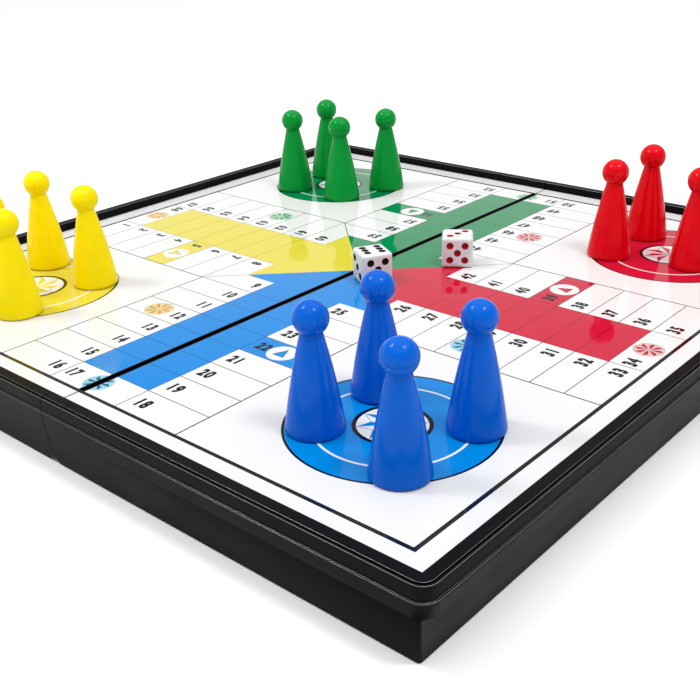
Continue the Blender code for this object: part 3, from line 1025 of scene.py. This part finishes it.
dicer = Recipe("dicer", Edge="Float", Rounding="Float", Pip_Radius="Float",
               Pip_Depth="Float", Turn="Vector", Place="Vector", Pip_Paint="Material")
half = dicer.given("Edge") / 2
core = half - dicer.given("Rounding")
cube = dicer.add("GeometryNodeMeshCube", None, {
    "Size": (2, 2, 2), "Vertices X": 10, "Vertices Y": 10, "Vertices Z": 10})


def rounded(share):
    """Moves the inner eight grid lines into the rounded edge's width."""
    size = dicer.add("ShaderNodeMath", {"operation": "ABSOLUTE"}, {0: share})
    return (dicer.spread(size, 1 / 9, 1.0, core, half)
            * share.sum("SIGN", share))


shares = dicer.split(dicer.add("GeometryNodeInputPosition"))
stretched = dicer.join(*[rounded(share) for share in shares])
inner = dicer.join(*[
    dicer.add("ShaderNodeMath", {"operation": "MINIMUM"},
              {0: dicer.spread(part.sum("ABSOLUTE", part), 1 / 9, 1.0, core, half),
               1: core}) * part.sum("SIGN", part) for part in shares])
outward = dicer.vector("NORMALIZE", dicer.vector("SUBTRACT", stretched, inner))
skin = dicer.vector("ADD", inner, dicer.vector(
    "SCALE", outward, Scale=dicer.given("Rounding")))
body = dicer.add("GeometryNodeSetPosition", None,
                 {"Geometry": cube, "Position": skin})
pip, depth = dicer.given("Pip_Radius"), dicer.given("Pip_Depth")
ball = (pip * pip + depth * depth) / (depth * 2)
facing = dicer.add("GeometryNodeInputNamedAttribute", {"data_type": "FLOAT_VECTOR"},
                   {"Name": "facing"})
centres = dicer.add("GeometryNodeSetPosition", None, {
    "Geometry": dicer.given("Base"),
    "Offset": dicer.vector("SCALE", facing, Scale=ball - depth)})
balls = dicer.add("GeometryNodeInstanceOnPoints", None, {
    "Points": centres, "Instance": dicer.add("GeometryNodeMeshUVSphere", None, {
        "Segments": 32, "Rings": 24, "Radius": ball})})
painted = dicer.add("GeometryNodeSetMaterial", None, {
    "Geometry": dicer.add("GeometryNodeRealizeInstances", None, {0: balls}),
    "Material": dicer.given("Pip_Paint")})
cut = dicer.tree.nodes.new("GeometryNodeMeshBoolean")
cut.operation, cut.solver = "DIFFERENCE", "EXACT"
dicer.plug(body, cut.inputs["Mesh 1"])
dicer.plug(painted, cut.inputs["Mesh 2"])
laid = dicer.add("GeometryNodeTransform", None, {
    "Geometry": Value(dicer, cut.outputs[0]), "Translation": dicer.given("Place"),
    "Rotation": dicer.given("Turn")})
dicer.end(laid, but=dicer.add("GeometryNodeMaterialSelection", None,
                              {"Material": dicer.given("Pip_Paint")}))


def pip_points(faces):
    """Pip centres on six faces: up, down, +X, -X, +Y and -Y."""
    turns = (Matrix(), Matrix.Rotation(pi, 4, "X"), Matrix.Rotation(pi / 2, 4, "Y"),
             Matrix.Rotation(-pi / 2, 4, "Y"), Matrix.Rotation(-pi / 2, 4, "X"),
             Matrix.Rotation(pi / 2, 4, "X"))
    spots, ways = [], []
    for count, turn in zip(faces, turns):
        for a, b in PIP_PLACES[count]:
            spots.append(turn @ Vector((a * PIP_STEP, b * PIP_STEP, DIE / 2)))
            ways.append(turn @ Vector((0, 0, 1)))
    mesh = bpy.data.meshes.new("pip_points")
    mesh.from_pydata(spots, [], [])
    way = mesh.attributes.new("facing", "FLOAT_VECTOR", "POINT")
    way.data.foreach_set("vector", [v for w in ways for v in w])
    return mesh


for node, turn, faces, pips in (
        ("die_black_pips", -30, (6, 1, 4, 3, 2, 5), pip_black),
        ("die_red_pips", -55, (3, 4, 6, 1, 2, 5), pip_red)):
    low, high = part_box(node)
    die = dicer.run("moulded_" + node, pip_points(faces), Edge=DIE,
                    Rounding=DIE_ROUND, Pip_Radius=PIP, Pip_Depth=PIP_DEPTH,
                    Turn=(0.0, 0.0, radians(turn)), Place=tuple((low + high) / 2),
                    Pip_Paint=pips, Finish=bone.material)
    tidy_faces(die.data, 30)
    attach(die, "die_black_body" if "black" in node else "die_red_body")
    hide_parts(node)
    print(die.name, len(die.data.polygons), "faces,",
          [m.name for m in die.data.materials])

# %% [markdown]
# ## Black case plastic
#
# The case is moulded in black with a fine spark-eroded grain, which makes it
# satin: dark where it mirrors nothing and grey where it mirrors the white
# paper. The grain is a bump, and slow noise varies the gloss as flow marks
# do. The eased edges get a finish of their own, a little lighter and with a
# far stronger mirror, which paints the fine bright lines along the rim as highlights.

# %% The case finish
shell = Finish("case_plastic", Specular_IOR_Level=0.07)
shell.set("Base Color", shell.blend(
    shell.spread(shell.grain(60, 4), 0.3, 0.7), paint(6, 6, 7), paint(9, 9, 11)))
shell.set("Roughness", shell.spread(
    shell.grain(45, 3) * 0.6 + shell.grain(1800, 2) * 0.4, 0.3, 0.7, 0.40, 0.54))
shell.relief(shell.grain(6500, 3) * 0.5 + shell.grain(1500, 2) * 0.3, 0.00002)

# edge finish: lighter than the plastic and with a much stronger mirror, as painted
# highlight lines along the rim
edge_highlight = Finish("case_edges", IOR=2.4, Specular_IOR_Level=1.0)
edge_highlight.set("Base Color", edge_highlight.blend(edge_highlight.grain(300, 3), paint(9, 9, 10),
                                      paint(18, 18, 20)))
edge_highlight.set("Roughness", edge_highlight.spread(
    edge_highlight.grain(120, 3) * 0.7 + edge_highlight.grain(1800, 2) * 0.3, 0.3, 0.7, 0.26, 0.38))
edge_highlight.relief(edge_highlight.grain(1500, 2), 0.00001)
print("case finishes are ready")

# %% [markdown]
# ## The stepped outside
#
# Seen from outside, the case wall has three steps: a lip that stands back a
# little, a belt below it, and a plain foot that is drawn in on the free side.
# The CAD wall has the same reach but fewer steps. They could be cut with
# booleans, but moving the outer corners of a copy keeps every face, so each
# outer corner is read as a place on the case's outline, and is put at the
# same place on the outline of its step.

# %% Outlines of the steps
CASE_X, CASE_Y, CASE_ROUND = 0.1336, 0.1313, 0.0045
OVERHANG, WALL_DRAFT, WALL_TOP = 0.0012, 0.0007, 0.0172
BELT_TOP, BELT_LOW, FOOT_TOP = 0.0165, 0.0124, 0.01225


def outline_at(inset_x, inset_y, radius):
    """Half sizes, corner radius and corner centre of one outline."""
    half_x, half_y = CASE_X - inset_x, CASE_Y - inset_y
    return half_x, half_y, radius, half_x - radius, half_y - radius


def wall_at(z):
    """The CAD wall's own outline at a height."""
    inset = OVERHANG + WALL_DRAFT * (1 - z / WALL_TOP)
    return outline_at(inset, inset, CASE_ROUND - OVERHANG)


def step_at(z):
    """The real wall's outline at a height, below the lip."""
    if z > (BELT_LOW + FOOT_TOP) / 2:
        inset = 0.0004 * (BELT_TOP - z) / (BELT_TOP - BELT_LOW)
        return outline_at(inset, inset, CASE_ROUND)
    share = 1 - z / FOOT_TOP
    return outline_at(0.00042 + 0.0015 * share, 0.0021 + 0.0010 * share, 0.0009)


def depth_in(outline, x, y):
    """How far a place lies inside an outline."""
    half_x, half_y, radius, near_x, near_y = outline
    if x > near_x and y > near_y:
        return radius - Vector((x - near_x, y - near_y)).length
    return min(half_x - x, half_y - y)


print("belt", round((BELT_TOP - BELT_LOW) * 1000, 2), "mm high")

# %% Move outer corners from one outline to another
LIP = outline_at(0.0, 0.0, CASE_ROUND)
LIP_BACK = outline_at(0.0005, 0.0005, CASE_ROUND - 0.0005)


def shift(v, old, new, depth):
    """Puts a corner at the same place on another outline."""
    half_x, half_y, radius, near_x, near_y = old
    x, y = abs(v.co.x), abs(v.co.y)
    if x > near_x - 1e-5 and y > near_y - 1e-5:
        out = Vector((x - near_x, y - near_y)).normalized() * (new[2] - depth)
        x, y = new[3] + out.x, new[4] + out.y
    elif half_x - x < half_y - y:
        x = new[0] - depth
    else:
        y = new[1] - depth
    v.co.x, v.co.y = (x if v.co.x > 0 else -x), (y if v.co.y > 0 else -y)


def on_wall(v):
    return v.co.z < BELT_TOP + 1e-5 and abs(
        depth_in(wall_at(v.co.z), abs(v.co.x), abs(v.co.y))) < 0.00006


def step_outside(bm):
    """Cuts the wall at the belt's foot and moves its outer corners."""
    for height in (BELT_LOW, FOOT_TOP):
        wall = [f for f in bm.faces if all(on_wall(v) for v in f.verts)]
        bmesh.ops.bisect_plane(
            bm, geom=wall + list({e for f in wall for e in f.edges})
            + list({v for f in wall for v in f.verts}), dist=1e-7,
            plane_co=(0, 0, height), plane_no=(0, 0, 1))
    walls = [v for v in bm.verts if on_wall(v)]
    lips = []
    for v in bm.verts:
        depth = depth_in(LIP, abs(v.co.x), abs(v.co.y))
        if v.co.z > BELT_TOP - 1e-5 and depth < 0.00035:
            lips.append((v, depth))
    for v in walls:
        shift(v, wall_at(v.co.z), step_at(v.co.z), 0.0)
    for v, depth in lips:
        shift(v, LIP, LIP_BACK, depth * 0.6)
    return len(walls), len(lips)


print("steps are ready")

# %% [markdown]
# ## Case halves with eased edges
#
# A moulding has no knife edges: each one is eased by a tenth of a millimetre
# or two. The eased faces take the lighter, more mirroring edge finish, which
# paints the bright lines along the rim as highlights. The CAD shape is right,
# so a copy of it is merged, cleaned of its flat triangles, stepped and given
# a narrow bevel, except at the fold, where both halves meet in sharp edges so that
# the seam hardly shows.

# %% Ease the edges of both halves
def eased_copy(node, width, name):
    source = frame["nodes"][node]
    mesh = source.data.copy()
    mesh.name = name
    for layer in ("custom_normal", "sharp_edge", "sharp_face"):
        if layer in mesh.attributes:
            mesh.attributes.remove(mesh.attributes[layer])
    bm = bmesh.new()
    bm.from_mesh(mesh)
    bmesh.ops.remove_doubles(bm, verts=bm.verts, dist=1e-6)
    for face in bm.faces:
        face.smooth = True
        face.material_index = 0
    bmesh.ops.dissolve_limit(bm, angle_limit=radians(0.5), verts=bm.verts,
                             edges=bm.edges)
    print(name, "outer corners moved:", step_outside(bm))
    weight = bm.edges.layers.float.new("bevel_weight_edge")
    for edge in bm.edges:
        at_fold = all(abs(v.co.y) < 0.0002 for v in edge.verts)
        if len(edge.link_faces) == 2 and edge.calc_face_angle() > radians(35):
            edge[weight] = float(not at_fold)
            edge.smooth = not at_fold
    bm.to_mesh(mesh)
    bm.free()
    mesh.materials.clear()
    for finish in (shell, edge_highlight):
        mesh.materials.append(finish.material)
    ob = bpy.data.objects.new(name, mesh)
    scene.collection.objects.link(ob)
    ease = ob.modifiers.new("ease", "BEVEL")
    ease.width = width
    ease.segments = 2
    ease.limit_method = "WEIGHT"
    ease.harden_normals = True
    # the bevel faces take the edge finish that paints the rim's highlight lines
    ease.material = 1
    bpy.context.view_layer.update()
    made = bpy.data.meshes.new_from_object(
        ob.evaluated_get(bpy.context.evaluated_depsgraph_get()))
    ob.modifiers.clear()
    ob.data = made
    made.name = name
    return ob


for half_name in ("front", "back"):
    node = half_name + "_case"
    case = eased_copy(node, 0.00024, "moulded_" + node)
    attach(case, half_name + "_half")
    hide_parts(node)
    print(case.name, len(case.data.polygons), "faces")

# %% [markdown]
# ## Steel and magnets
#
# The hinge links, pins and sheets are steel, and the magnets are plated.
# Steel could be one grey, but rolled steel shows fine lines along one way and
# faint stains, and plating is smoother with small pits.

# %% Metal finishes on the CAD nodes
steel = Finish("rolled_steel", Metallic=1.0)
lines = steel.grain(90, 3, steel.add("ShaderNodeMapping", None, {
    "Vector": steel.place, "Scale": (1, 30, 30)}))
steel.set("Base Color", steel.blend(
    lines, paint(176, 178, 181), paint(196, 197, 199)))
steel.set("Roughness", steel.spread(lines, 0.3, 0.7, 0.28, 0.42))
steel.relief(lines, 0.00002)

plating = Finish("plated_magnet", Metallic=1.0)
pits = plating.grain(2200, 3)
plating.set("Base Color", plating.blend(
    pits, paint(205, 203, 198), paint(186, 184, 180)))
plating.set("Roughness", plating.spread(pits, 0.3, 0.7, 0.18, 0.32))
plating.relief(pits, 0.00001)

for node, ob in frame["nodes"].items():
    metal = ("magnet" in node and plating) or (
        ("steel" in node or "hinge" in node) and steel)
    if metal:
        for place in ob.material_slots:
            place.material = metal.material
print("metals:", sum("magnet" in n or "steel" in n or "hinge" in n
                     for n in frame["nodes"]), "nodes")
